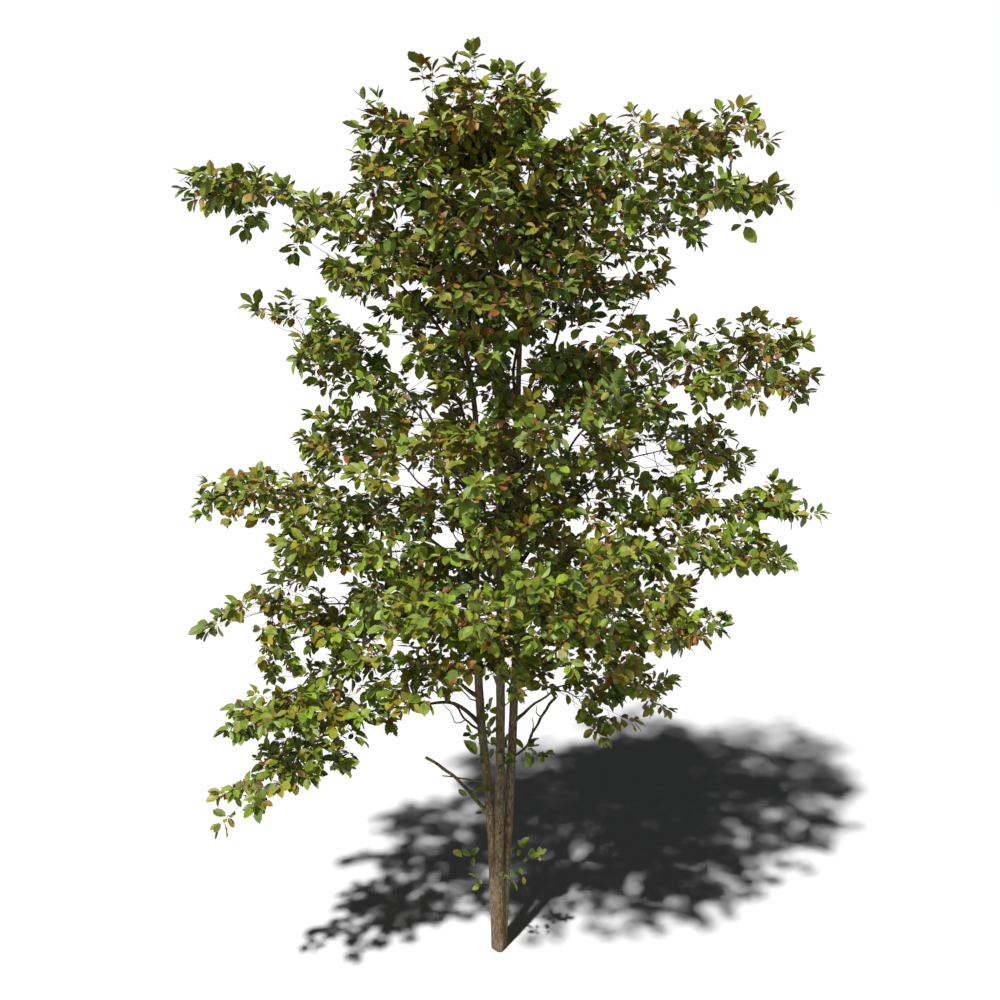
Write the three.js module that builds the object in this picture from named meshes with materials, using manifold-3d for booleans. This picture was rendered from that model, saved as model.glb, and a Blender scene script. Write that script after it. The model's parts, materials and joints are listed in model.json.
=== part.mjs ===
// Velvet bushwillow: a slender savanna tree whose three stems rise from one fused foot and
// carry long level boughs with open sprays of leaves. Millimetres, +Z up, level ground at Z = 0.
// The origin is the centre of the flat cut under the foot, and -Y is the tree's front.
import * as THREE from 'three';
import { mergeVertices } from 'three/addons/utils/BufferGeometryUtils.js';
import Module from 'manifold-3d';

const wasm = await Module();
wasm.setup();
const { Manifold, Mesh } = wasm;

// Driving dimensions.
const FORK_HEIGHT = 950; // the three stems are free of each other from here up
const CLEARANCE = 0.3; // between a piece and the piece that carries it
const STEM = { sides: 9, steps: 7, footSteps: 5 };
const ELBOW = { out: 0.38, up: 0.75 }; // where a branch's rise turns level, as shares of its run
const BOUGH = { base: 8, perMetre: 5, taper: 0.5, sides: 5, steps: 4 };
const TWIG = {
  sides: 3, steps: 3, main: 9, mainTip: 4, onTip: 7, side: 4.5, sideTip: 3.2, spacing: 115, thinnest: 0.5,
};
// One blade stands for a spray of real leaves, each of which is about 100 long.
const BLADE = {
  length: 430, width: 300, thickness: 9, leastThickness: 5.4, widest: 0.5, droop: 0.12, sunk: 0.004,
};
const FULL_SPREAD = 330; // half width of a mass whose blades have their full size
const SPRAY_SIZE = { least: 0.9, most: 1.2, shoot: 0.34 }; // blades on low shoots are smaller sprays

// The rule of growth, as shares of a length or as slopes, with the random part of each.
const GROW = {
  wander: 0.3, lift: 1.1, twigAhead: 0.6, bladeAhead: 0.8, swell: 0.5, fullest: 0.45,
  room: 0.45, leastRoom: 0.3, turn: 0.3, rise: 0.8, sag: 0.4, roll: 0.6, rollMore: 1.2, pitch: 1.2,
  vary: 0.25, end: 0.75, leastRun: 0.25, leastSprigs: 3, lastSprig: 0.86, longTwig: 0.6, narrowing: 1.5,
};
// Where foliage begins: this share past a bare stretch, out from a stem's tip, or out from a stem's side.
const LEAFY = { pastBare: 0.03, fromTip: 0.06, fromStem: 0.2 };
// Where blades stand on a twig: the share of its length, the turn to one side, and the size.
const SHORT_TWIG = [[0.985, 0, 1], [0.5, 1.2, 0.9], [0.15, -1.3, 0.9]];
const LONG_TWIG = [[0.985, 0, 1], [0.72, 1.1, 0.9], [0.5, -1.2, 0.9], [0.2, 1.3, 0.85]];
const BUD = [[0, 0, 1]]; // one blade straight on the main twig
// A blade that doesn't fit is tried tilted up or down by these slopes, and then smaller.
const TRIES = [1, 0.8, 0.62].flatMap((shrink) => [0, 0.4, -0.4, 0.8, -0.8].map((nudge) => [nudge, shrink]));
const BLADE_POINT = 0.65; // the share of a blade, out at each point, that may leave its mass's space
const SPACE_MARGIN = 4; // a blade's body keeps this far inside that space
const LIMB_MARGIN = 2; // and a twig this far from every limb
const LAYER_STRETCH = 1.3; // heights count for more than widths, as the sprays lie in layers
const SITES = [0.1, 0.37, 0.65, 0.92]; // points along a mass's main twig that its space is nearest to

// Centre lines of the stems, as [x, y, height, radius], from the ground up.
const STEMS = {
  left: [[-22, 8, 0, 29], [-35, 16, 480, 30], [-58, 32, 950, 27], [-118, 72, 1660, 26],
    [-140, 110, 2400, 22], [-140, 160, 3470, 16], [-270, 120, 4350, 9]],
  centre: [[2, -16, 0, 29], [1, -22, 480, 31], [0, -32, 950, 28], [6, -42, 1660, 27],
    [6, -52, 2400, 24], [-8, -60, 3600, 19], [-50, -40, 4600, 9]],
  right: [[20, 14, 0, 29], [35, 22, 480, 30], [58, 36, 950, 27], [86, 62, 1660, 26],
    [110, 96, 2400, 23], [107, 140, 3600, 16], [130, 130, 4350, 9]],
};

// Branches: [name, stem, height where it leaves the stem, azimuth of its tip, reach of its tip,
// height of its tip, arch, half width of its foliage, bare share].
// Azimuth is in degrees from +X towards +Y. With no bare share the foliage sits on the stem.
const BRANCHES = [
  ['left_crown', 'left', 3640, 178, 1670, 4780, 310, 300, 0.3],
  ['left_shoulder', 'left', 3900, 205, 690, 5000, 60, 370, 0],
  ['left_nape', 'left', 3260, 193, 1040, 4370, 250, 320, 0.28],
  ['left_wand', 'left', 3060, 177, 1340, 3970, 200, 190, 0.34],
  ['left_upper', 'left', 2830, 200, 1010, 3800, 190, 380, 0.28],
  ['left_back', 'left', 2700, 158, 1270, 3250, 180, 420, 0.3],
  ['left_long', 'left', 2450, 182, 1730, 2960, 390, 260, 0.3],
  ['left_middle', 'left', 2250, 203, 1280, 2760, 200, 400, 0.28],
  ['left_low', 'left', 1960, 184, 1700, 2270, 380, 350, 0.28],
  ['left_droop_high', 'left', 1720, 196, 1600, 1760, 600, 350, 0.3],
  ['left_droop', 'left', 1540, 202, 1730, 1300, 760, 320, 0.34],
  ['left_front_low', 'centre', 1940, 234, 960, 2080, 220, 320, 0],
  ['right_crown', 'right', 3960, 6, 1400, 5030, 440, 370, 0.2],
  ['right_wing', 'right', 3480, 354, 1460, 4740, 390, 330, 0.24],
  ['right_nape', 'right', 3080, 338, 900, 4060, 120, 380, 0],
  ['right_upper', 'right', 2800, 1, 1680, 3740, 500, 380, 0.26],
  ['right_back', 'right', 2560, 18, 1480, 3220, 260, 410, 0.24],
  ['right_long', 'right', 2320, 2, 1860, 2900, 380, 270, 0.32],
  ['right_middle', 'right', 2120, 350, 1690, 2820, 260, 360, 0.3],
  ['right_low', 'right', 1840, 336, 1340, 2370, 200, 420, 0.28],
  ['right_skirt', 'right', 1560, 12, 1100, 1740, 280, 340, 0.32],
  ['right_hang', 'right', 1780, 338, 800, 1660, 280, 300, 0],
  ['top_leader', 'centre', 'tip', 188, 140, 5310, 0, 420, 0],
  ['top_left', 'left', 'tip', 196, 420, 5260, 0, 340, 0],
  ['top_right', 'right', 'tip', 10, 200, 5170, 0, 400, 0],
  ['front_crown', 'centre', 3700, 268, 860, 4620, 140, 540, 0],
  ['front_upper', 'centre', 2900, 300, 1060, 3700, 140, 580, 0],
  ['front_middle', 'centre', 2620, 246, 1060, 3500, 160, 560, 0],
  ['front_left', 'centre', 2000, 248, 1290, 2760, 160, 580, 0],
  ['front_right', 'centre', 2100, 293, 1290, 2900, 160, 580, 0],
  ['back_crown', 'right', 3400, 88, 960, 4600, 140, 540, 0],
  ['back_upper', 'right', 2640, 68, 1260, 3560, 160, 600, 0],
  ['back_middle', 'left', 2320, 114, 1260, 3100, 160, 600, 0],
  ['back_low', 'right', 1920, 84, 1290, 2260, 260, 570, 0],
].map(([name, stem, leaves, azimuth, reach, height, arch, spread, bare]) =>
  ({ name, stem, leaves, azimuth, reach, height, arch, spread, bare }));

// Short leafy shoots low on the stems, in the same terms.
const SHOOTS = [
  ['shoot_left', 'left', 600, 172, 310, 690, 20, 70, 0],
  ['shoot_right', 'right', 560, 8, 300, 690, 30, 90, 0],
  ['shoot_fork', 'right', 1240, 338, 330, 1400, 20, 110, 0],
].map(([name, stem, leaves, azimuth, reach, height, arch, spread, bare]) =>
  ({ name, stem, leaves, azimuth, reach, height, arch, spread, bare, shoot: true }));

// The broken stub on the left: from the left stem to its snapped end.
const STUB = { leaves: 985, azimuth: 176, reach: 455, height: 1354, arch: -60, root: 13, tip: 8 };

const UP = new THREE.Vector3(0, 0, 1);
const GOLDEN_ANGLE = 2.4;
const STEEP = 0.5; // the level part of a direction under which it counts as upright
const WELD = 1e-3; // vertices nearer to each other than this are one
const { clamp, lerp, degToRad } = THREE.MathUtils;

// A repeatable number from 0 to 1 for one choice on one twig of one branch.
function chance(branch, twig, choice) {
  const wave = Math.sin(branch * 12.9898 + twig * 78.233 + choice * 37.719 + 4.137) * 43758.5453;
  return wave - Math.floor(wave);
}

// Geometry to solid: only positions count, and the vertices that faces share are merged.
function solid(shape) {
  const plain = new THREE.BufferGeometry();
  plain.setAttribute('position', shape.getAttribute('position'));
  plain.setIndex(shape.getIndex());
  const merged = mergeVertices(plain, WELD);
  return new Manifold(new Mesh({
    numProp: 3,
    vertProperties: merged.getAttribute('position').array,
    triVerts: new Uint32Array(merged.getIndex().array),
  }));
}

// The largest whole body of a solid: loose scraps go, and sealed hollows are filled.
function wholeBody(made) {
  return made.decompose().reduce((a, b) => (b.volume() > a.volume() ? b : a));
}

// A closed tapering limb: a cylinder whose rings are moved onto a curve.
function limb(curve, rootRadius, tipRadius, sides, steps) {
  const shape = new THREE.CylinderGeometry(1, 1, 1, sides, steps);
  const at = shape.getAttribute('position');
  const frames = curve.computeFrenetFrames(steps);
  const local = new THREE.Vector3();
  for (let i = 0; i < at.count; i++) {
    local.fromBufferAttribute(at, i);
    const ring = Math.round((local.y + 0.5) * steps);
    const radius = lerp(rootRadius, tipRadius, ring / steps);
    const place = curve.getPointAt(ring / steps)
      .addScaledVector(frames.normals[ring], local.x * radius)
      .addScaledVector(frames.binormals[ring], -local.z * radius);
    at.setXYZ(i, place.x, place.y, place.z);
  }
  return solid(shape);
}

// One stem between two heights, in level rings, so that both its cuts are flat.
function stemSolid(stations, from, to, grow, sides, steps) {
  const shape = new THREE.CylinderGeometry(1, 1, 1, sides, steps);
  const at = shape.getAttribute('position');
  for (let i = 0; i < at.count; i++) {
    const height = lerp(from, to, at.getY(i) + 0.5);
    const { centre, radius } = stemAt(stations, height);
    const out = radius + grow;
    at.setXYZ(i, centre.x + at.getX(i) * out, centre.y - at.getZ(i) * out, height);
  }
  return solid(shape);
}

// A stem's centre and radius at a height: a smooth curve through its stations.
function stemAt(stations, height) {
  const last = stations.length - 2;
  const found = stations.findIndex((s, i) => i <= last && height <= stations[i + 1][2]);
  const i = found < 0 ? last : found;
  const [a, b, c, d] = [i - 1, i, i + 1, i + 2]
    .map((k) => stations[Math.min(Math.max(k, 0), last + 1)]);
  const t = (height - b[2]) / (c[2] - b[2]);
  const spline = (k) => 0.5 * (2 * b[k] + (c[k] - a[k]) * t
    + (2 * a[k] - 5 * b[k] + 4 * c[k] - d[k]) * t * t
    + (3 * b[k] - a[k] - 3 * c[k] + d[k]) * t * t * t);
  return { centre: new THREE.Vector3(spline(0), spline(1), height), radius: lerp(b[3], c[3], t) };
}

// The arched line of a branch from its stem's axis (or from its stem's tip) to its outer tip.
function branchCurve({ stem, leaves, azimuth, reach, height, arch }) {
  const stations = STEMS[stem];
  const top = stations[stations.length - 1][2];
  const start = stemAt(stations, leaves === 'tip' ? top - TWIG.onTip : leaves).centre;
  const angle = degToRad(azimuth);
  const tip = new THREE.Vector3(Math.cos(angle) * reach, Math.sin(angle) * reach, height);
  const middle = start.clone().lerp(tip, ELBOW.out);
  middle.z = lerp(start.z, tip.z, ELBOW.up) + arch;
  return new THREE.QuadraticBezierCurve3(start, middle, tip);
}

// A point on the straight steps that a limb along a curve is made of, by its share of the length.
function onChords(curve, steps, share) {
  const step = Math.min(Math.floor(share * steps), steps - 1);
  const next = curve.getPointAt((step + 1) / steps);
  return curve.getPointAt(step / steps).lerp(next, share * steps - step);
}

// The stretch of a branch between two shares of its curve.
function stretch(curve, from, to) {
  const middle = curve.v0.clone().multiplyScalar((1 - from) * (1 - to))
    .addScaledVector(curve.v1, from * (1 - to) + to * (1 - from))
    .addScaledVector(curve.v2, from * to);
  return new THREE.QuadraticBezierCurve3(curve.getPoint(from), middle, curve.getPoint(to));
}

// A flat eight-faced blade from its root along a direction, with its face turned to a normal.
function blade({ root, along, face, size }) {
  const length = BLADE.length * size;
  const thickness = Math.max(BLADE.thickness * size, BLADE.leastThickness);
  const shape = new THREE.OctahedronGeometry(1);
  const at = shape.getAttribute('position');
  for (let i = 0; i < at.count; i++) {
    const share = at.getX(i) === 0 ? BLADE.widest : (at.getX(i) + 1) / 2;
    const sag = share === 1 ? BLADE.droop * length : 0;
    at.setXYZ(i, (share - BLADE.sunk) * length, at.getY(i) * BLADE.width * size / 2,
      at.getZ(i) * thickness / 2 - sag);
  }
  const side = face.clone().cross(along).normalize();
  const normal = along.clone().cross(side).normalize();
  shape.applyMatrix4(new THREE.Matrix4().makeBasis(along, side, normal).setPosition(root));
  return shape;
}

// The share of a branch's curve at which its foliage begins.
function leafyFrom({ bare, leaves }) {
  if (bare > 0) return bare + LEAFY.pastBare;
  return leaves === 'tip' ? LEAFY.fromTip : LEAFY.fromStem;
}

// The main twig of one mass, and its sprigs by the seeded rule: along the main twig come in turn
// a bud of one blade on one side and a side twig on the other, and the tip is the last sprig.
function growth(branch, index) {
  const { spread, bare, shoot } = branch;
  const size = shoot ? SPRAY_SIZE.shoot : clamp(spread / FULL_SPREAD, SPRAY_SIZE.least, SPRAY_SIZE.most);
  const whole = branchCurve(branch);
  const inner = leafyFrom(branch);
  const end = Math.max(1 - GROW.end * BLADE.length * size / whole.getLength(), inner + GROW.leastRun);
  const fitting = Math.round((end - inner) * whole.getLength() / (TWIG.spacing * size));
  const count = Math.max(GROW.leastSprigs, fitting);
  const room = Math.max(GROW.leastRoom * spread, spread - GROW.room * BLADE.length * size);
  const stem = stretch(whole, bare, end);
  const leafy = (inner - bare) / (end - bare);
  const sprigs = [];
  for (let i = 0; i < count; i++) {
    const share = (i + 0.5 + GROW.wander * (chance(index, i, 1) - 0.5)) / count;
    const place = lerp(leafy, 1, share);
    const from = onChords(stem, TWIG.steps, place);
    const ahead = stem.getTangentAt(place);
    const isTwig = i % 2 === 1;
    const hand = (i % 4 < 2) === isTwig ? 1 : -1;
    const out = ahead.clone().multiplyScalar(isTwig ? GROW.twigAhead : GROW.bladeAhead)
      .addScaledVector(levelAcross(ahead, i), hand)
      .addScaledVector(UP, GROW.lift * (chance(index, i, 2) - 0.5)).normalize();
    const off = Math.abs(share - GROW.fullest) / (1 - GROW.fullest);
    const swell = 1 - GROW.swell * Math.pow(off, GROW.narrowing);
    const length = isTwig ? room * swell * (1 + GROW.turn * (chance(index, i, 4) - 0.5)) : 0;
    const places = length > GROW.longTwig * BLADE.length * size ? LONG_TWIG : SHORT_TWIG;
    const to = from.clone().addScaledVector(out, length);
    sprigs.push({ from, to, along: out, isTwig, places: isTwig ? places : BUD });
  }
  const lastRoot = onChords(stem, TWIG.steps, GROW.lastSprig);
  const last = { from: lastRoot, to: stem.getPoint(1), along: stem.getTangent(1) };
  sprigs.push({ ...last, isTwig: false, places: SHORT_TWIG });
  return { stem, sprigs, size };
}

// A level direction across a twig, or one that turns from sprig to sprig where the twig is upright.
function levelAcross(ahead, turn) {
  const across = new THREE.Vector3().crossVectors(UP, ahead);
  if (across.length() < STEEP) across.set(Math.cos(GOLDEN_ANGLE * turn), Math.sin(GOLDEN_ANGLE * turn), 0);
  return across.normalize();
}

// The blades of a sprig, each as a few choices, best first, of a root, a direction, a face and
// a size.
function bladesOf({ from, to, along, places }, index, t, size) {
  const across = new THREE.Vector3().crossVectors(UP, along).normalize();
  return places.map(([share, turn, scale], k) => TRIES.map(([nudge, shrink]) => {
    const draw = (choice) => chance(index, t, choice + k);
    const roll = (k % 2 === t % 2 ? 1 : -1) * (GROW.roll + GROW.rollMore * draw(30));
    const out = along.clone().addScaledVector(across, turn * (1 + GROW.turn * (draw(10) - 0.5)))
      .addScaledVector(UP, GROW.rise * (draw(20) - GROW.sag) + nudge).normalize();
    const face = UP.clone().addScaledVector(across, roll)
      .addScaledVector(along, GROW.pitch * (draw(40) - 0.5)).normalize();
    const spray = size * scale * shrink * (1 + GROW.vary * (draw(50) - 0.5));
    return { root: from.clone().lerp(to, share), along: out, face, size: spray };
  }));
}

// Points on each mass's main twig: a point in the crown belongs to the mass whose point is nearest.
const grown = [...BRANCHES, ...SHOOTS].map((branch, index) => ({ branch, index, ...growth(branch, index) }));
const sites = grown.flatMap(({ branch, index }) => {
  const whole = branchCurve(branch);
  const inner = leafyFrom(branch);
  return SITES.map((share) => ({ index, place: whole.getPoint(lerp(inner, 1, share)) }));
});

function ownsPoint(index, place) {
  let own = Infinity;
  let other = Infinity;
  for (const site of sites) {
    const height = (place.z - site.place.z) * LAYER_STRETCH;
    const far = Math.hypot(place.x - site.place.x, place.y - site.place.y, height);
    if (site.index === index) own = Math.min(own, far);
    else other = Math.min(other, far);
  }
  return own + SPACE_MARGIN < other;
}

// A blade is in its mass's space when its body is; only its points may reach a little further.
function ownsShape(index, shape) {
  const at = shape.getAttribute('position');
  const corners = Array.from({ length: at.count }, (_, i) => new THREE.Vector3().fromBufferAttribute(at, i));
  const middle = corners.reduce((sum, p) => sum.add(p), new THREE.Vector3()).divideScalar(at.count);
  return [middle, ...corners.map((p) => p.lerp(middle, BLADE_POINT))].every((p) => ownsPoint(index, p));
}

function touches(made, others) {
  const a = made.boundingBox();
  return others.some(({ body, box }) =>
    [0, 1, 2].every((k) => a.min[k] <= box.max[k] && box.min[k] <= a.max[k])
    && made.intersect(body).volume() > 0);
}

const boxed = (name, body) => ({ name, body, box: body.boundingBox() });

// Trunk and stems.
const stemNames = Object.keys(STEMS);
const tipHeight = (name) => STEMS[name].at(-1)[2];
const footStem = (name, grow) => stemSolid(STEMS[name], 0, FORK_HEIGHT, grow, STEM.sides, STEM.footSteps);
const freeStem = (name, grow) =>
  stemSolid(STEMS[name], FORK_HEIGHT + CLEARANCE, tipHeight(name) + grow, grow, STEM.sides, STEM.steps);
const trunk = wholeBody(Manifold.union(stemNames.map((name) => footStem(name, 0))));
const stems = stemNames.map((name) => [name, freeStem(name, 0)]);
const allWide = Manifold.union(stemNames.flatMap((name) =>
  [footStem(name, CLEARANCE), freeStem(name, CLEARANCE)]));

// A limb that grows from a stem's axis is cut clear of the stems' skin.
const seated = (made) => wholeBody(made.subtract(allWide));

// Boughs, each up to where its foliage begins, and the broken stub.
const rootRadius = ({ reach }) => BOUGH.base + BOUGH.perMetre * reach / 1000;
const boughs = BRANCHES.filter(({ bare }) => bare > 0).map((branch) => {
  const curve = stretch(branchCurve(branch), 0, branch.bare);
  const radius = rootRadius(branch);
  const made = limb(curve, radius, radius * BOUGH.taper, BOUGH.sides, BOUGH.steps);
  return [`bough_${branch.name}`, seated(made)];
});
const stub = limb(branchCurve({ ...STUB, stem: 'left' }), STUB.root, STUB.tip, BOUGH.sides, BOUGH.steps);
boughs.push(['stub_left', seated(stub)]);

// Main twigs. One that goes on from a bough has the radius of the bough's tip.
const mainTwigs = grown.map(({ branch, stem, size }) => {
  if (branch.bare > 0) {
    const goesOn = stretch(stem, CLEARANCE / stem.getLength(), 1);
    return limb(goesOn, rootRadius(branch) * BOUGH.taper, TWIG.mainTip, TWIG.sides, TWIG.steps);
  }
  const radius = branch.leaves === 'tip' ? TWIG.onTip : TWIG.main * Math.max(size, TWIG.thinnest);
  return seated(limb(stem, radius, TWIG.mainTip, TWIG.sides, TWIG.steps));
});

const solidLimbs = [
  boxed('trunk', trunk), ...stems.map(([name, body]) => boxed(`stem_${name}`, body)),
  ...boughs.map(([name, body]) => boxed(name, body)),
  ...mainTwigs.map((body, i) => boxed(grown[i].branch.name, body)),
];

// Side twigs and blades already placed in any mass.
const sideTwigs = [];
const blades = [];

// One mass of foliage: its main twig with side twigs and blades fused on, each kept clear of
// every limb, of other masses' twigs and of the blades placed before it.
function mass({ branch, index, sprigs, size }) {
  const others = [...solidLimbs, ...sideTwigs].filter(({ name }) => name !== branch.name);
  const isFree = (made) => !touches(made, others) && !touches(made, blades);
  const parts = [mainTwigs[index]];
  sprigs.forEach((sprig, t) => {
    if (sprig.isTwig) {
      const line = new THREE.LineCurve3(sprig.from, sprig.to);
      const wide = limb(line, TWIG.side + LIMB_MARGIN, TWIG.sideTip + LIMB_MARGIN, TWIG.sides, 1);
      if (!ownsPoint(index, sprig.to) || !isFree(wide)) return;
      const twig = limb(line, TWIG.side, TWIG.sideTip, TWIG.sides, 1);
      sideTwigs.push(boxed(branch.name, twig));
      parts.push(twig);
    }
    for (const choices of bladesOf(sprig, index, t, size)) {
      const fitting = choices.map((choice) => blade(choice)).find((shape) =>
        ownsShape(index, shape) && isFree(solid(shape)));
      if (!fitting) continue;
      blades.push(boxed(branch.name, solid(fitting)));
      parts.push(solid(fitting));
    }
  });
  return wholeBody(Manifold.union(parts));
}

// Materials, as seen on the tree.
const bark = new THREE.MeshStandardMaterial({ color: 0x75654c, roughness: 0.9, metalness: 0 });
const limbBark = new THREE.MeshStandardMaterial({ color: 0x5b4d3c, roughness: 0.88, metalness: 0 });
const leafGreen = new THREE.MeshStandardMaterial({ color: 0x5c7424, roughness: 0.6, metalness: 0 });
const leafOlive = new THREE.MeshStandardMaterial({ color: 0x6c6a22, roughness: 0.6, metalness: 0 });

const tree = new THREE.Group();

function addNode(name, body, material) {
  const { numProp, numVert, vertProperties, triVerts } = body.getMesh();
  const places = new Float32Array(numVert * 3);
  for (let i = 0; i < numVert; i++) {
    places.set(vertProperties.subarray(i * numProp, i * numProp + 3), i * 3);
  }
  const geometry = new THREE.BufferGeometry();
  geometry.setAttribute('position', new THREE.BufferAttribute(places, 3));
  geometry.setIndex(new THREE.BufferAttribute(triVerts, 1));
  geometry.computeVertexNormals();
  const node = new THREE.Mesh(geometry, material);
  node.name = name;
  tree.add(node);
}

addNode('trunk', trunk, bark);
stems.forEach(([name, body]) => addNode(`stem_${name}`, body, bark));
boughs.forEach(([name, body]) => addNode(name, body, limbBark));
grown.forEach((one) => {
  const name = one.branch.shoot ? one.branch.name : `foliage_${one.branch.name}`;
  addNode(name, mass(one), one.index % 3 === 1 ? leafOlive : leafGreen);
});

export default tree;
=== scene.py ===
# The looks of a velvet bushwillow: a slender savanna tree with three stems on one fused foot.
# Metres, +Z up, level ground at Z = 0, and -Y is the tree's front.
import json
from math import cos, floor, hypot, inf, pi, radians, sin
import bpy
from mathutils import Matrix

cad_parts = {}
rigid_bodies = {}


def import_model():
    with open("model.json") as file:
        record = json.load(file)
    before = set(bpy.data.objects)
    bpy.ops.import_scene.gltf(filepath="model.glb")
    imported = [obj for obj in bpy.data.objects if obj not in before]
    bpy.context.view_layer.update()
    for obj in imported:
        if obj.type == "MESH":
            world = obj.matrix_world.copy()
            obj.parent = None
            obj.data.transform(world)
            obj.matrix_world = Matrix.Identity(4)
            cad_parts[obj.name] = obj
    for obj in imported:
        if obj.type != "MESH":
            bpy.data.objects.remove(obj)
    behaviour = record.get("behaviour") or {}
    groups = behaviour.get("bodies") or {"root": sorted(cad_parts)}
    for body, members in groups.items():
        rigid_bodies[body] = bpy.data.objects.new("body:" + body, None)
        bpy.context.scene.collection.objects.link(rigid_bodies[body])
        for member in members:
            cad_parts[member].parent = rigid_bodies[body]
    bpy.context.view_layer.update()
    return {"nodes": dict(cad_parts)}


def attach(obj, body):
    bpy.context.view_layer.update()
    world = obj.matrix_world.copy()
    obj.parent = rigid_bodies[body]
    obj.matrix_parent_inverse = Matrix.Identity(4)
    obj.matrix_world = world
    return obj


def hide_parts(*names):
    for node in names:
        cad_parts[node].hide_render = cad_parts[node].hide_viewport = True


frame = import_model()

from types import SimpleNamespace as Values

import bpy
import numpy as np
from mathutils import Vector, noise
from numpy.linalg import norm

UP = np.array([0.0, 0.0, 1.0])

# The table and the rule of growth, as in the solids but for finer side twigs. Lengths are in
# millimetres.
MM = 0.001
FORK_HEIGHT = 950
ELBOW = Values(out=0.38, up=0.75)
BOUGH = Values(base=8, per_metre=5, taper=0.5)
TWIG = Values(
    main=9, main_tip=4, on_tip=7, side=4.5, side_tip=2.2, spacing=115, thinnest=0.5,
    sides=5, points=5,
)
SPRAY = Values(length=430, width=300)
FULL_SPREAD = 330
SPRAY_SIZE = Values(least=0.9, most=1.2, shoot=0.34)
GROW = Values(
    wander=0.3, lift=1.1, twig_ahead=0.6, spray_ahead=0.8, swell=0.5, fullest=0.45,
    room=0.45, least_room=0.3, turn=0.3, rise=0.8, sag=0.4, roll=0.6,
    roll_more=1.2, pitch=1.2, vary=0.25, end=0.75, least_run=0.25, least_sprigs=3,
    last_sprig=0.86, long_twig=0.6, narrowing=1.5,
)
LEAFY = Values(past_bare=0.03, from_tip=0.06, from_stem=0.2)
SHORT_TWIG = [[0.985, 0, 1], [0.5, 1.2, 0.9], [0.15, -1.3, 0.9]]
LONG_TWIG = [[0.985, 0, 1], [0.72, 1.1, 0.9], [0.5, -1.2, 0.9], [0.2, 1.3, 0.85]]
BUD = [[0, 0, 1]]
NUDGES = [0, 0.4, -0.4, 0.8, -0.8]
SPACE_MARGIN = 0.004
LAYER_STRETCH = 1.3
SITES = [0.1, 0.37, 0.65, 0.92]
GOLDEN_ANGLE = 2.4
STEEP = 0.5

# Centre lines of the stems, as [x, y, height, radius], from the ground up.
STEMS = {
    "left": [[-22, 8, 0, 29], [-35, 16, 480, 30], [-58, 32, 950, 27], [-118, 72, 1660, 26],
             [-140, 110, 2400, 22], [-140, 160, 3470, 16], [-270, 120, 4350, 9]],
    "centre": [[2, -16, 0, 29], [1, -22, 480, 31], [0, -32, 950, 28], [6, -42, 1660, 27],
               [6, -52, 2400, 24], [-8, -60, 3600, 19], [-50, -40, 4600, 9]],
    "right": [[20, 14, 0, 29], [35, 22, 480, 30], [58, 36, 950, 27], [86, 62, 1660, 26],
              [110, 96, 2400, 23], [107, 140, 3600, 16], [130, 130, 4350, 9]],
}

# Branches: [name, stem, height where it leaves the stem, azimuth of its tip, reach of its tip,
# height of its tip, arch, half width of its foliage, bare share].
BRANCHES = [
    ["left_crown", "left", 3640, 178, 1670, 4780, 310, 300, 0.3],
    ["left_shoulder", "left", 3900, 205, 690, 5000, 60, 370, 0],
    ["left_nape", "left", 3260, 193, 1040, 4370, 250, 320, 0.28],
    ["left_wand", "left", 3060, 177, 1340, 3970, 200, 190, 0.34],
    ["left_upper", "left", 2830, 200, 1010, 3800, 190, 380, 0.28],
    ["left_back", "left", 2700, 158, 1270, 3250, 180, 420, 0.3],
    ["left_long", "left", 2450, 182, 1730, 2960, 390, 260, 0.3],
    ["left_middle", "left", 2250, 203, 1280, 2760, 200, 400, 0.28],
    ["left_low", "left", 1960, 184, 1700, 2270, 380, 350, 0.28],
    ["left_droop_high", "left", 1720, 196, 1600, 1760, 600, 350, 0.3],
    ["left_droop", "left", 1540, 202, 1730, 1300, 760, 320, 0.34],
    ["left_front_low", "centre", 1940, 234, 960, 2080, 220, 320, 0],
    ["right_crown", "right", 3960, 6, 1400, 5030, 440, 370, 0.2],
    ["right_wing", "right", 3480, 354, 1460, 4740, 390, 330, 0.24],
    ["right_nape", "right", 3080, 338, 900, 4060, 120, 380, 0],
    ["right_upper", "right", 2800, 1, 1680, 3740, 500, 380, 0.26],
    ["right_back", "right", 2560, 18, 1480, 3220, 260, 410, 0.24],
    ["right_long", "right", 2320, 2, 1860, 2900, 380, 270, 0.32],
    ["right_middle", "right", 2120, 350, 1690, 2820, 260, 360, 0.3],
    ["right_low", "right", 1840, 336, 1340, 2370, 200, 420, 0.28],
    ["right_skirt", "right", 1560, 12, 1100, 1740, 280, 340, 0.32],
    ["right_hang", "right", 1780, 338, 800, 1660, 280, 300, 0],
    ["top_leader", "centre", "tip", 188, 140, 5310, 0, 420, 0],
    ["top_left", "left", "tip", 196, 420, 5260, 0, 340, 0],
    ["top_right", "right", "tip", 10, 200, 5170, 0, 400, 0],
    ["front_crown", "centre", 3700, 268, 860, 4620, 140, 540, 0],
    ["front_upper", "centre", 2900, 300, 1060, 3700, 140, 580, 0],
    ["front_middle", "centre", 2620, 246, 1060, 3500, 160, 560, 0],
    ["front_left", "centre", 2000, 248, 1290, 2760, 160, 580, 0],
    ["front_right", "centre", 2100, 293, 1290, 2900, 160, 580, 0],
    ["back_crown", "right", 3400, 88, 960, 4600, 140, 540, 0],
    ["back_upper", "right", 2640, 68, 1260, 3560, 160, 600, 0],
    ["back_middle", "left", 2320, 114, 1260, 3100, 160, 600, 0],
    ["back_low", "right", 1920, 84, 1290, 2260, 260, 570, 0],
]
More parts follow.
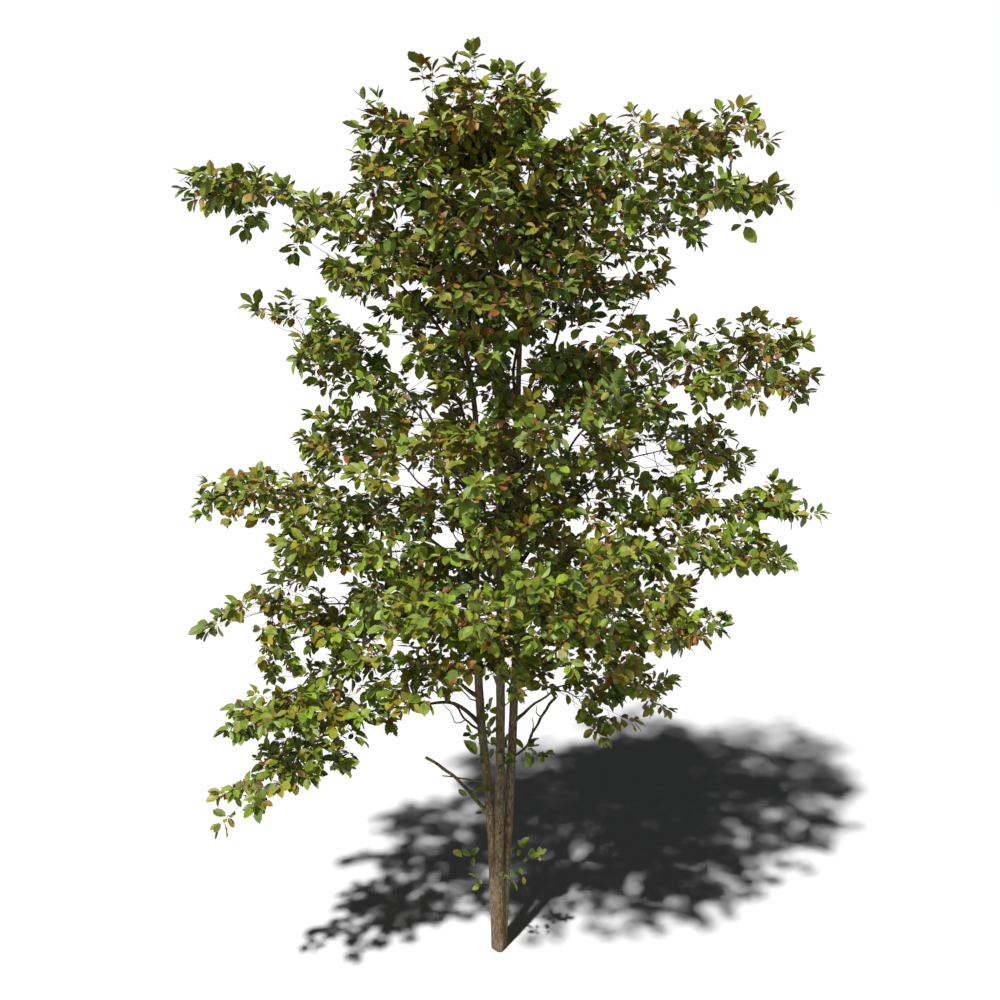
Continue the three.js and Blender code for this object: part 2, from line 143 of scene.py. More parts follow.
SHOOTS = [
    ["shoot_left", "left", 600, 172, 310, 690, 20, 70, 0],
    ["shoot_right", "right", 560, 8, 300, 690, 30, 90, 0],
    ["shoot_fork", "right", 1240, 338, 330, 1400, 20, 110, 0],
]
FIELDS = ["name", "stem", "leaves", "azimuth", "reach", "height", "arch", "spread", "bare"]
BRANCHES = [Values(shoot=False, **dict(zip(FIELDS, row))) for row in BRANCHES]
SHOOTS = [Values(shoot=True, **dict(zip(FIELDS, row))) for row in SHOOTS]

# The picture is 1000 pixels square.
CAMERA = Values(place=(0.003, -7.1206, 5.1762), pitch=73.0, lens=46.8, sensor=36.0)
PICTURE = 1000
TILT = radians(90 - CAMERA.pitch)
ZOOM = CAMERA.lens / CAMERA.sensor * PICTURE

# Finer growth that only the looks have, in metres and degrees. "inner" is the chance of a small inner
# leaf, for a cluster in its lower and in its upper half.
LEAF = Values(
    length=0.0915, pitch=0.016, skipped=0.06, alike=0.65, small=(0.42, 0.80),
    full=(0.68, 1.15), face_ahead=0.3, face_up=0.8, face_vary=0.27,
)
CLUSTER = Values(
    pairs=5, side_pairs=4, reach=0.085, bow=0.1, bow_up=0.5, radius=0.0013,
    taper=(1, 0.85, 0.6), turn=0.4, open=(88, 48), open_vary=14, wander=0.15,
    droop=0.12, inner=(0.62, 0.2),
)
TUFT = Values(leaves=3, turn=0.5, open=(0.25, 0.7), droop=0.05, inner=0.25)
AXIS = Values(
    sag=0.08, middle=0.4, least_stalk=0.015, tip_stalk=0.01, clusters=(0.28, 0.68),
    place_vary=0.1, ahead=(0.5, 0.9), rise=0.35, same_tint=0.8, face_wander=0.25,
    tip_wander=0.08, radius=0.0022, shares=(0, 0.35, 0.7, 1), taper=(1, 0.85, 0.7, 0.5),
)
FLATTEN = 0.5
FINEST_SIDES = 3
# Seeds of the random draws of the tree and of each kind of growth on it.
SEED = Values(tree=41, inner=500, more=600, aimed=700, sprig=800, leaf=900)


def unit(v):
    return v / norm(v)


def lerp(a, b, t):
    return a + (b - a) * t


def draws(*numbers):
    return np.random.default_rng([SEED.tree, *numbers])


def either_way(rng, most):
    return rng.uniform(-most, most)


# A repeatable number from 0 to 1 for one choice on one twig of one branch, as in the solids.
def chance(branch, twig, choice):
    wave = sin(branch * 12.9898 + twig * 78.233 + choice * 37.719 + 4.137) * 43758.5453
    return wave - floor(wave)


# A stem's centre and radius at a height in millimetres, in metres.
def stem_at(stem, height):
    stations = STEMS[stem]
    last = len(stations) - 2
    i = next((k for k in range(last + 1) if height <= stations[k + 1][2]), last)
    a, b, c, d = (stations[min(max(k, 0), last + 1)] for k in (i - 1, i, i + 1, i + 2))
    t = (height - b[2]) / (c[2] - b[2])

    def spline(k):
        return 0.5 * (2 * b[k] + (c[k] - a[k]) * t + (2 * a[k] - 5 * b[k] + 4 * c[k] - d[k]) * t * t
                      + (3 * b[k] - a[k] - 3 * c[k] + d[k]) * t * t * t)

    return np.array([spline(0), spline(1), height]) * MM, lerp(b[3], c[3], t) * MM


# How far along a line of points each of them is.
def run_along(points):
    return np.concatenate([[0], np.cumsum(norm(np.diff(points, axis=0), axis=1))])


# A quadratic curve whose points can be taken by parameter or by share of its length.
class Curve:
    PIECES = 200

    def __init__(self, v0, v1, v2):
        self.v0, self.v1, self.v2 = v0, v1, v2
        t = np.linspace(0, 1, self.PIECES + 1)[:, None]
        self.run = run_along(self.at(t))
        self.length = self.run[-1]

    def at(self, t):
        return (1 - t) ** 2 * self.v0 + 2 * t * (1 - t) * self.v1 + t * t * self.v2

    def heading(self, t):
        return unit((1 - t) * (self.v1 - self.v0) + t * (self.v2 - self.v1))

    def parameter(self, share):
        return np.interp(share * self.length, self.run, np.linspace(0, 1, self.PIECES + 1))

    def along(self, share):
        return self.at(self.parameter(share))

    def stretch(self, a, b):
        middle = (1 - a) * (1 - b) * self.v0 + (a * (1 - b) + b * (1 - a)) * self.v1 + a * b * self.v2
        return Curve(self.at(a), middle, self.at(b))


# The arched line of a branch from its stem's axis, or from its stem's tip, to its outer tip.
def branch_curve(branch):
    stations = STEMS[branch.stem]
    leaves = branch.leaves
    start = stem_at(branch.stem, stations[-1][2] - TWIG.on_tip if leaves == "tip" else leaves)[0]
    angle = radians(branch.azimuth)
    tip = np.array([cos(angle) * branch.reach, sin(angle) * branch.reach, branch.height]) * MM
    middle = lerp(start, tip, ELBOW.out)
    middle[2] = lerp(start[2], tip[2], ELBOW.up) + branch.arch * MM
    return Curve(start, middle, tip)


# The share of a branch's curve at which its foliage begins.
def leafy_from(branch):
    if branch.bare > 0:
        return branch.bare + LEAFY.past_bare
    return LEAFY.from_tip if branch.leaves == "tip" else LEAFY.from_stem


# A level direction across a twig, or one that turns with the twig's number where it is upright.
def level_across(ahead, turn):
    across = np.cross(UP, ahead)
    if norm(across) < STEEP:
        across = np.array([cos(GOLDEN_ANGLE * turn), sin(GOLDEN_ANGLE * turn), 0])
    return unit(across)


# The main twig of one mass and its sprigs, by the rule of the solids.
def growth(branch, index):
    spread = branch.spread * MM
    spray = SPRAY.length * MM
    usual = min(max(branch.spread / FULL_SPREAD, SPRAY_SIZE.least), SPRAY_SIZE.most)
    size = SPRAY_SIZE.shoot if branch.shoot else usual
    whole = branch_curve(branch)
    inner = leafy_from(branch)
    end = max(1 - GROW.end * spray * size / whole.length, inner + GROW.least_run)
    fitting = round((end - inner) * whole.length / (TWIG.spacing * MM * size))
    count = max(GROW.least_sprigs, fitting)
    room = max(GROW.least_room * spread, spread - GROW.room * spray * size)
    stem = whole.stretch(branch.bare, end)
    leafy = (inner - branch.bare) / (end - branch.bare)
    sprigs = []
    for i in range(count):
        share = (i + 0.5 + GROW.wander * (chance(index, i, 1) - 0.5)) / count
        place = lerp(leafy, 1, share)
        start = stem.along(place)
        ahead = stem.heading(stem.parameter(place))
        is_twig = i % 2 == 1
        hand = 1 if (i % 4 < 2) == is_twig else -1
        out = unit(ahead * (GROW.twig_ahead if is_twig else GROW.spray_ahead) + level_across(ahead, i) * hand
                   + UP * GROW.lift * (chance(index, i, 2) - 0.5))
        off = abs(share - GROW.fullest) / (1 - GROW.fullest)
        swell = 1 - GROW.swell * off ** GROW.narrowing
        length = room * swell * (1 + GROW.turn * (chance(index, i, 4) - 0.5)) if is_twig else 0
        places = LONG_TWIG if length > GROW.long_twig * spray * size else SHORT_TWIG
        sprigs.append(Values(start=start, stop=start + out * length, along=out, is_twig=is_twig,
                             places=places if is_twig else BUD))
    last = stem.along(GROW.last_sprig)
    sprigs.append(Values(start=last, stop=stem.at(1), along=stem.heading(1), is_twig=False,
                         places=SHORT_TWIG))
    return Values(branch=branch, index=index, whole=whole, sprigs=sprigs, size=size, end=end)


# A point in the crown belongs to the mass that has the nearest of these places on its branch.
grown = [growth(branch, index) for index, branch in enumerate(BRANCHES + SHOOTS)]
by_name = {g.branch.name: g for g in grown}
site_places = np.array([g.whole.at(lerp(leafy_from(g.branch), 1, s)) for g in grown for s in SITES])
site_owner = np.repeat(np.arange(len(grown)), len(SITES))


def owns(index, place):
    gap = site_places - place
    gap[:, 2] *= LAYER_STRETCH
    far = norm(gap, axis=1)
    return far[site_owner == index].min() + SPACE_MARGIN < far[site_owner != index].min()


def add_to_scene(made):
    bpy.context.scene.collection.objects.link(made)
    return made


# Meshes from arrays.
def make_piece(name, verts, faces, material):
    mesh = bpy.data.meshes.new(name)
    mesh.vertices.add(len(verts))
    mesh.vertices.foreach_set("co", np.asarray(verts, np.float32).ravel())
    mesh.loops.add(faces.size)
    mesh.loops.foreach_set("vertex_index", faces.ravel().astype(np.int32))
    mesh.polygons.add(len(faces))
    mesh.polygons.foreach_set("loop_start", np.arange(0, faces.size, faces.shape[1], dtype=np.int32))
    mesh.update(calc_edges=True)
    mesh.polygons.foreach_set("use_smooth", np.ones(len(faces), bool))
    mesh.materials.append(material)
    piece = add_to_scene(bpy.data.objects.new(name, mesh))
    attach(piece, "root")
    return piece


# Vertices and triangles of many small shapes, to be joined into one piece.
class Soup:
    def __init__(self):
        self.verts, self.faces, self.count = [], [], 0

    def add(self, verts, faces):
        self.verts.append(verts)
        self.faces.append(faces + self.count)
        self.count += len(verts)

    def piece(self, name, material):
        return make_piece(name, np.concatenate(self.verts), np.concatenate(self.faces), material)


# Ring frames that turn as little as they can along a line.
def frames_along(points):
    ahead = np.gradient(points, axis=0)
    ahead /= norm(ahead, axis=1, keepdims=True)
    side = level_across(ahead[0], 0)
    sides = []
    for a in ahead:
        side = unit(side - a * (side @ a))
        sides.append(side)
    sides = np.array(sides)
    return sides, np.cross(ahead, sides)


# Faces of a tube whose rings' vertices come first, then the middle of its start and of its end.
def tube_faces(rings, sides):
    ring, k = np.meshgrid(np.arange(rings - 1), np.arange(sides), indexing="ij")
    a = ring * sides + k
    b = ring * sides + (k + 1) % sides
    quads = np.stack([a, b, b + sides, a, b + sides, a + sides], -1).reshape(-1, 3)
    first, last = rings * sides, rings * sides + 1
    k = np.arange(sides)
    start = np.stack([np.full(sides, first), (k + 1) % sides, k], -1)
    top = (rings - 1) * sides
    stop = np.stack([np.full(sides, last), top + k, top + (k + 1) % sides], -1)
    return np.concatenate([quads, start, stop])


# A closed tube: rings of given radii along points, with relief as a function of place and radius.
# Its rings are level or lie across its line, and its end stands out by a share of its radius.
def tube(points, radii, sides, relief=None, level=False, blunt=0.0):
    points = np.asarray(points, float)
    radii = np.asarray(radii, float)
    if level:
        across = np.tile([1.0, 0, 0], (len(points), 1))
        other = np.tile([0, 1.0, 0], (len(points), 1))
    else:
        across, other = frames_along(points)
    turn = np.arange(sides) * 2 * pi / sides
    out = across[:, None] * np.cos(turn)[None, :, None] + other[:, None] * np.sin(turn)[None, :, None]
    deep = radii[:, None, None] * np.ones((1, sides, 1))
    skin = points[:, None] + out * deep
    if relief is not None:
        deep = deep + relief(skin.reshape(-1, 3), radii, sides).reshape(len(points), sides, 1)
        skin = points[:, None] + out * deep
    ahead = unit(points[-1] - points[-2])
    verts = np.concatenate([skin.reshape(-1, 3), points[:1], points[-1:] + ahead * blunt * radii[-1]])
    return verts, tube_faces(len(points), sides)


# Colours and materials.
WHITE = (1, 1, 1, 1)


def srgb(tone):
    def linear(v):
        v /= 255
        return v / 12.92 if v <= 0.04045 else ((v + 0.055) / 1.055) ** 2.4
    return (*(linear(v) for v in tone), 1.0)


def new_material(name, roughness, specular):
    material = bpy.data.materials.new(name)
    material.use_nodes = True
    shader = material.node_tree.nodes["Principled BSDF"]
    shader.inputs["Roughness"].default_value = roughness
    shader.inputs["Specular IOR Level"].default_value = specular
    return material, shader


# A shader node with some of its sockets set.
def add_node(tree, kind, **values):
    node = tree.nodes.new(f"ShaderNode{kind}")
    for socket, value in values.items():
        node.inputs[socket].default_value = value
    return node


def noise_ramp(tree, scale, stretch, detail, stops):
    place = add_node(tree, "TexCoord")
    mapping = add_node(tree, "Mapping", Scale=stretch)
    texture = add_node(tree, "TexNoise", Scale=scale, Detail=detail)
    ramp = add_node(tree, "ValToRGB")
    tree.links.new(place.outputs["Object"], mapping.inputs["Vector"])
    tree.links.new(mapping.outputs["Vector"], texture.inputs["Vector"])
    tree.links.new(texture.outputs["Fac"], ramp.inputs["Fac"])
    elements = ramp.color_ramp.elements
    elements[0].position, elements[0].color = stops[0]
    elements[1].position, elements[1].color = stops[-1]
    for position, color in stops[1:-1]:
        elements.new(position).color = color
    return texture.outputs["Fac"], ramp.outputs["Color"]


def bump(tree, shader, height, strength, distance):
    node = add_node(tree, "Bump", Strength=strength, Distance=distance)
    tree.links.new(height, node.inputs["Height"])
    tree.links.new(node.outputs["Normal"], shader.inputs["Normal"])


def multiplied(tree, first, second):
    both = add_node(tree, "Mix")
    both.data_type = "RGBA"
    both.blend_type = "MULTIPLY"
    both.inputs["Factor"].default_value = 1.0
    tree.links.new(first, both.inputs["A"])
    tree.links.new(second, both.inputs["B"])
    return both.outputs["Result"]


# Bark: fine upright streaks, darkened by broad patches and by fine specks.
def bark_material(name, dark, middle, light, scale, upright):
    material, shader = new_material(name, roughness=0.9, specular=0.25)
    tree = material.node_tree
    streaks = [(0.33, srgb(dark)), (0.5, srgb(middle)), (0.68, srgb(light))]
    patches = [(0.35, (0.62, 0.60, 0.58, 1)), (0.65, WHITE)]
    specks = [(0.36, (0.55, 0.53, 0.50, 1)), (0.56, WHITE)]
    height, colour = noise_ramp(tree, scale, stretch=(1, 1, upright), detail=8, stops=streaks)
    _, broad = noise_ramp(tree, scale=6, stretch=(1, 1, 0.4), detail=3, stops=patches)
    _, fine = noise_ramp(tree, scale=150, stretch=(1, 1, 0.5), detail=4, stops=specks)
    worn = multiplied(tree, multiplied(tree, colour, broad), fine)
    tree.links.new(worn, shader.inputs["Base Color"])
    bump(tree, shader, height, strength=0.7, distance=0.004)
    return material


# Leaf: mottled from its dark to its light tone, with turning patches.
def leaf_material(name, dark, light, turning):
    material, shader = new_material(name, roughness=0.55, specular=0.46)
    shader.inputs["Sheen Weight"].default_value = 0.05
    tree = material.node_tree
    tones = [(0.34, srgb(dark)), (0.54, srgb(light)), (0.7, srgb(turning))]
    height, colour = noise_ramp(tree, scale=34, stretch=(1, 1, 1), detail=3, stops=tones)
    tree.links.new(colour, shader.inputs["Base Color"])
    bump(tree, shader, height, strength=0.25, distance=0.002)
    return material


# Leaf colours: name, dark tone, light tone, tone of the turning patches.
LEAF_COLOURS = [
    ("deep_green", (52, 76, 8), (71, 95, 11), (92, 84, 9)),
    ("green", (71, 91, 9), (91, 111, 13), (113, 97, 11)),
    ("fresh_green", (86, 111, 15), (105, 130, 21), (121, 116, 17)),
    ("olive", (84, 85, 7), (103, 104, 11), (117, 81, 9)),
    ("yellow_green", (99, 107, 12), (118, 121, 17), (131, 102, 12)),
    ("ochre", (98, 76, 6), (118, 91, 9), (117, 67, 6)),
    ("rust", (95, 54, 5), (116, 68, 7), (89, 44, 5)),
    ("brown", (61, 44, 5), (78, 57, 8), (57, 37, 5)),
]
# From this colour on a leaf is turned.
OCHRE = [row[0] for row in LEAF_COLOURS].index("ochre")

# Relief of bark at places on a limb's skin, from waves per metre across and along the limb with the
# offset and share of each. Its depth is a share of the radius, up to a most.
def relief(waves, depth, most):
    def at(skin, radii, sides):
        high = [sum(share * noise.noise(Vector((x * across + offset, y * across, z * along)))
                    for across, along, offset, share in waves) for x, y, z in skin]
        return np.array(high) * np.minimum(np.repeat(radii, sides) * depth, most)
    return at


# Long upright fibres, fine cracks and broad lumps on the stems, and plain lumps on the boughs.
bark_relief = relief([(95, 9, 0, 0.55), (260, 30, 0, 0.25), (26, 5, 7, 0.6)], depth=0.14, most=0.0032)
limb_relief = relief([(42, 42, 0, 1), (120, 120, 0, 0.6)], depth=0.13, most=inf)

# Small crooks along a branch, none at its root and tip: to the side and up, in radians along the
# branch for the broad and the fine wave, with the fine wave's share.
CROOK = Values(side=(9, 21), lift=(11, 25), fine=0.5, phase=6, ease=6, choice=61)


def crooked(points, index, amount):
    points = np.array(points)
    share = np.linspace(0, 1, len(points))
    ahead = unit(points[-1] - points[0])
    side = level_across(ahead, index)
    lift = np.cross(side, ahead)
    length = norm(points[-1] - points[0])

    def wave(broad, fine, first):
        start, more = (chance(index, first + k, CROOK.choice) * CROOK.phase for k in (0, 1))
        return np.sin(share * broad + start) + CROOK.fine * np.sin(share * fine + more)

    ease = np.minimum(share * CROOK.ease, 1) * np.minimum((1 - share) * CROOK.ease, 1)
    shift = side * wave(*CROOK.side, 3)[:, None] + lift * wave(*CROOK.lift, 5)[:, None]
    return points + shift * (ease * amount * length)[:, None]


def root_radius(branch):
    return (BOUGH.base + BOUGH.per_metre * branch.reach / 1000) * MM


bark = bark_material("bark", (75, 65, 52), (117, 104, 88), (151, 137, 118), scale=125, upright=0.22)
limb_bark = bark_material("limb_bark", (50, 43, 34), (88, 76, 60), (118, 104, 84), scale=90, upright=0.5)
twig_bark = bark_material("twig_bark", (70, 50, 34), (98, 72, 48), (120, 94, 66), scale=120, upright=1)
# Near-black bark for the knot holes' bowls: painted shade of their hollows.
knot_hole_painted_shade = bark_material("knot_hole_painted_shade", (20, 16, 12), (30, 24, 18), (42, 34, 26), scale=160, upright=1)

# Stems with relief, from the ground to their tips.
STEM_MESH = Values(sides=40, step=0.011)


def stem_tube(name, low, high):
    heights = np.linspace(low, high, int(round((high - low) * MM / STEM_MESH.step)) + 1)
    points, radii = zip(*(stem_at(name, h) for h in heights))
    return tube(points, radii, STEM_MESH.sides, bark_relief, level=True)


# The wood that fuses the stems over the foot: a smooth hull round them that sinks in as it rises.
WEB = Values(top=0.66, step=0.011, sides=72, blend=0.006, inset=0.0015, sink=0.03, low=0.36, radius=0.026)


def web_body():
    heights = np.linspace(0, WEB.top, int(WEB.top / WEB.step))
    turn = np.arange(WEB.sides) * 2 * pi / WEB.sides
    out = np.stack([np.cos(turn), np.sin(turn), np.zeros(WEB.sides)], 1)
    rings = []
    for z in heights:
        found = [stem_at(name, z / MM) for name in STEMS]
        reach = np.array([out @ centre + radius for centre, radius in found])
        share = np.exp((reach - reach.max(0)) / WEB.blend)
        share /= share.sum(0)
        ring = sum(w[:, None] * (centre + out * radius) for w, (centre, radius) in zip(share, found))
        rise = max(0.0, (z - WEB.low) / (WEB.top - WEB.low))
        ring = ring - out * (WEB.inset + WEB.sink * rise ** 2)
        ring = ring + out * bark_relief(ring, [WEB.radius], WEB.sides)[:, None]
        ring[:, 2] = z
        rings.append(ring)
    skin = np.concatenate(rings)
    ends = np.array([rings[0].mean(0), rings[-1].mean(0)])
    return np.concatenate([skin, ends]), tube_faces(len(rings), WEB.sides)


# Knot holes: [x, y, height, radius] in millimetres, each a dark bowl in a raised lip, the bowl's near-black
# colour painted shade of the hollow.
KNOTS = [[3, -58, 875, 8], [62, -2, 759, 6], [104, 12, 1534, 6], [-4, -66, 1290, 5]]
KNOT = Values(steps=17, tall=1.3, lip=0.0028, lip_sides=6, deep=0.004, proud=0.0012, bowl=0.9, bowl_sides=14)


def knot_parts(x, y, height, radius):
    name = min(STEMS, key=lambda n: norm(stem_at(n, height)[0][:2] / MM - (x, y)))
    centre, skin = stem_at(name, height)
    out = unit(np.array([x * MM, y * MM, height * MM]) - centre)
    side = unit(np.cross(UP, out))
    lift = np.cross(out, side)
    middle = centre + out * skin
    turn = np.linspace(0, 2 * pi, KNOT.steps)
    ring = [middle + (side * cos(a) + lift * sin(a) * KNOT.tall) * radius * MM for a in turn]
    lip = tube(ring, np.full(KNOT.steps, KNOT.lip), KNOT.lip_sides)
    # The bowl is a dark plug whose face stands a little out from the stem; its colour is painted shade of
    # the hollow.
    ends = [middle - out * KNOT.deep, middle + out * KNOT.proud]
    bowl = tube(ends, [radius * MM * KNOT.bowl] * 2, KNOT.bowl_sides)
    return lip, bowl


trunk_soup = Soup()
trunk_soup.add(*web_body())
for name in STEMS:
    trunk_soup.add(*stem_tube(name, 0, FORK_HEIGHT))
# The knot bowls, dark as painted shade, are gathered apart from the bark.
knot_shade_soup = Soup()
for knot in KNOTS:
    lip, bowl = knot_parts(*knot)
    trunk_soup.add(*lip)
    knot_shade_soup.add(*bowl)
trunk_piece = trunk_soup.piece("trunk_bark", bark)
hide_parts("trunk")
knot_shade_piece = knot_shade_soup.piece("knot_hole_shade", knot_hole_painted_shade)
for name, stations in STEMS.items():
    soup = Soup()
    soup.add(*stem_tube(name, FORK_HEIGHT, stations[-1][2]))
    piece = soup.piece(f"stem_{name}_bark", bark)
    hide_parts(f"stem_{name}")

# Boughs and main twigs as one crooked line each, slimmer than the solids' few-sided limbs.
SLIM = 0.78
LIMB = Values(
    step=0.03, least_steps=12, crook=0.012, tip=0.8, collar=0.45, collar_run=0.05,
    bough_sides=12, twig_sides=8,
)
# How far a bough stands above its smooth line near its root, and the share of it where that ends.
ARCHED = {"left_droop": 0.05}
ARCH_END = 0.4
limbs = Soup()
stub = Soup()
twigs = Soup()


# A bough that goes on as its mass's main twig: its line is returned.
def add_limb(g):
    branch = g.branch
    bare = branch.bare
    whole = g.whole.stretch(0, g.end)
    steps = max(LIMB.least_steps, int(g.whole.length * g.end / LIMB.step))
    shares = np.linspace(0, 1, steps)
    points = crooked([whole.along(s) for s in shares], g.index, LIMB.crook)
    arch = ARCHED.get(branch.name, 0)
    points += UP * arch * np.sin(pi * np.minimum(shares / ARCH_END, 1))[:, None]
    tip = TWIG.main_tip * MM * LIMB.tip
    if bare > 0:
        at_bare = np.interp(bare / g.end, [whole.parameter(s) for s in shares], shares)
        radius = root_radius(branch) * SLIM
        radii = np.interp(shares, [0, at_bare, 1], [radius, radius * BOUGH.taper, tip])
    else:
        base = TWIG.on_tip if branch.leaves == "tip" else TWIG.main
        radii = np.linspace(base * MM * max(g.size, TWIG.thinnest), tip, len(shares))
    collar = 1 + LIMB.collar * np.exp(-shares * whole.length / LIMB.collar_run)
    sides = LIMB.bough_sides if bare > 0 else LIMB.twig_sides
    limbs.add(*tube(points, radii * collar, sides, limb_relief, blunt=1.0))
    return points


for g in grown:
    if not g.branch.shoot:
        g.line = add_limb(g)

# The broken stub and bare limbs: radius at the root, radius at the end, and corners, in millimetres.
STUB_LIMBS = [
    [12, 9, (-70, 30, 955), (-150, 30, 1060), (-274, 30, 1208), (-360, 31, 1282), (-452, 31, 1342)],
    [6, 4, (-80, 38, 1168), (-180, 33, 1186), (-274, 30, 1208), (-350, 28, 1217)],
]
BARE_LIMBS = [
    [8, 4, (-118, 60, 1510), (-204, 50, 1585), (-262, 42, 1668), (-317, 30, 1748), (-428, 0, 1821)],
    [4, 1.5, (-204, 50, 1588), (-240, 44, 1566), (-270, 40, 1572), (-294, 30, 1641), (-347, 20, 1719)],
    [4.5, 2, (-128, 75, 1690), (-190, 50, 1740), (-262, 30, 1827), (-302, 0, 1919)],
    [7, 9, (76, 50, 1330), (168, 50, 1409), (216, 50, 1517), (264, 50, 1638), (342, 50, 1738)],
    [5, 2, (196, 50, 1470), (206, 40, 1550), (198, 36, 1606)],
    [4, 1.5, (252, 50, 1600), (222, 40, 1640), (224, 36, 1690)],
    [4, 2, (8, -40, 1700), (60, -28, 1752), (123, -20, 1791), (241, -30, 1887)],
    [5, 3, (-20, -50, 2480), (-120, -120, 2660), (-190, -160, 2740), (-260, -200, 2890), (-330, -230, 2960)],
    [4, 2.5, (-190, -160, 2740), (-250, -170, 2760), (-370, -200, 2790)],
    [4, 2.5, (-100, 0, 3300), (-200, -60, 3440), (-300, -100, 3640), (-370, -120, 3960)],
    [4, 2, (120, 60, 2900), (260, 0, 2960), (420, -60, 3010), (560, -90, 3040)],
]
BARE = Values(points=26, rounds=3, first=70, crook=0.012, stub_crook=0.005, sides=12, blunt=0.3)


# The line through the corners, with its points evenly spread and then rounded off.
def smooth_line(corners):
    corners = np.array(corners, float) * MM
    run = run_along(corners)
    even = np.linspace(0, run[-1], BARE.points)
    line = np.stack([np.interp(even, run, corners[:, k]) for k in range(3)], 1)
    for _ in range(BARE.rounds):
        line[1:-1] = (line[:-2] + 2 * line[1:-1] + line[2:]) / 4
    return line


for order, (root, end, *corners) in enumerate(STUB_LIMBS + BARE_LIMBS):
    is_stub = order < len(STUB_LIMBS)
    crook = BARE.stub_crook if is_stub else BARE.crook
    line = crooked(smooth_line(corners), BARE.first + order, crook)
    radii = np.linspace(root, end, BARE.points) * MM
    body = tube(line, radii, BARE.sides, limb_relief, blunt=BARE.blunt)
    (stub if is_stub else limbs).add(*body)
stub_piece = stub.piece("stub_bark", bark)
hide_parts("stub_left")
limb_piece = limbs.piece("boughs_bark", limb_bark)
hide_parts(*[f"bough_{b.name}" for b in BRANCHES if b.bare > 0])


def on_line(g, place):
    return g.line[np.argmin(norm(g.line - place, axis=1))]


# Sky that shows between the masses from the front: the left, top, right and bottom of ellipses in
# the picture, in pixels.
OPENINGS = [
    [178, 240, 288, 290], [182, 425, 290, 466], [180, 540, 248, 590], [180, 640, 252, 696],
    [684, 248, 810, 305], [746, 416, 812, 470], [790, 552, 850, 600], [565, 50, 660, 108],
    [316, 572, 352, 596], [405, 370, 438, 392], [410, 426, 430, 438], [417, 456, 438, 474],
    [390, 470, 423, 494], [430, 529, 458, 548], [568, 324, 612, 340], [556, 444, 594, 452],
    [650, 460, 680, 472], [742, 365, 764, 375], [462, 672, 498, 702], [352, 460, 368, 469],
    [250, 318, 296, 368], [346, 768, 370, 804], [216, 745, 252, 780], [556, 742, 625, 800],
    [396, 88, 432, 120], [538, 110, 582, 142], [270, 206, 300, 230], [304, 244, 330, 266],
    [399, 272, 422, 292], [336, 302, 370, 313], [602, 264, 634, 279], [645, 286, 694, 308],
    [738, 148, 768, 168], [660, 204, 684, 213], [645, 650, 712, 672], [402, 714, 426, 746],
    [262, 682, 296, 692], [702, 488, 738, 496], [546, 704, 580, 724], [316, 648, 346, 659],
    [736, 568, 784, 590], [222, 634, 258, 656], [522, 549, 542, 561], [238, 530, 262, 556],
    [772, 406, 806, 424], [576, 500, 594, 511], [350, 56, 400, 94], [318, 100, 350, 160],
    [548, 46, 590, 84], [612, 84, 668, 108], [700, 76, 772, 102], [762, 166, 806, 188],
    [292, 168, 336, 185], [340, 160, 362, 180], [220, 278, 262, 302], [160, 478, 194, 512],
    [696, 584, 726, 606], [676, 640, 748, 674], [672, 656, 694, 694], [808, 336, 838, 358],
    [302, 782, 332, 806], [560, 712, 584, 748], [752, 450, 800, 474], [430, 508, 448, 526],
    [376, 340, 398, 356], [420, 404, 442, 419], [474, 400, 484, 430], [508, 332, 528, 398],
    [522, 556, 540, 574], [540, 390, 560, 404], [564, 520, 592, 534], [236, 606, 262, 632],
    [286, 800, 306, 820], [346, 250, 370, 268], [752, 518, 808, 538], [798, 464, 846, 497],
    [836, 500, 860, 520],
]
OPENING_EDGE = 3


# The spot in the picture, in pixels, at which a place shows.
def picture_place(place):
    away = place[1] - CAMERA.place[1]
    down = CAMERA.place[2] - place[2]
    depth = away * cos(TILT) + down * sin(TILT)
    rise = away * sin(TILT) - down * cos(TILT)
    zoom = ZOOM / depth
    return PICTURE / 2 + (place[0] - CAMERA.place[0]) * zoom, PICTURE / 2 - rise * zoom


# The place that shows at a spot in the picture, in the upright plane y = depth.
def from_picture(x, y, depth):
    right, up = (x - PICTURE / 2) / ZOOM, (PICTURE / 2 - y) / ZOOM
    ray = np.array([right, cos(TILT) + up * sin(TILT), up * cos(TILT) - sin(TILT)])
    eye = np.array(CAMERA.place)
    return eye + ray * (depth - eye[1]) / ray[1]


def in_opening(place):
    x, y = picture_place(place)

    def is_inside(left, top, right, bottom):
        across = (2 * x - left - right) / (right - left + 2 * OPENING_EDGE)
        down = (2 * y - top - bottom) / (bottom - top + 2 * OPENING_EDGE)
        return across ** 2 + down ** 2 < 1

    return any(is_inside(*opening) for opening in OPENINGS)


# Leaves are kept as rows: root, direction, face, length, colour.
leaves = []


# One leaf of a cluster. Most outer leaves share its main colour, unless that is a turned one.
def add_leaf(root, leaf, along, rng, tint, inner, big, main):
    face = unit(along * LEAF.face_ahead + UP * LEAF.face_up + rng.normal(0, LEAF.face_vary, 3))
    scale = rng.uniform(*(LEAF.small if inner else LEAF.full))
    own = inner or main >= OCHRE or rng.random() > LEAF.alike
    colour = pick_colour(rng, tint, inner) if own else main
    leaves.append((root, leaf, face, LEAF.length * scale * big, colour))


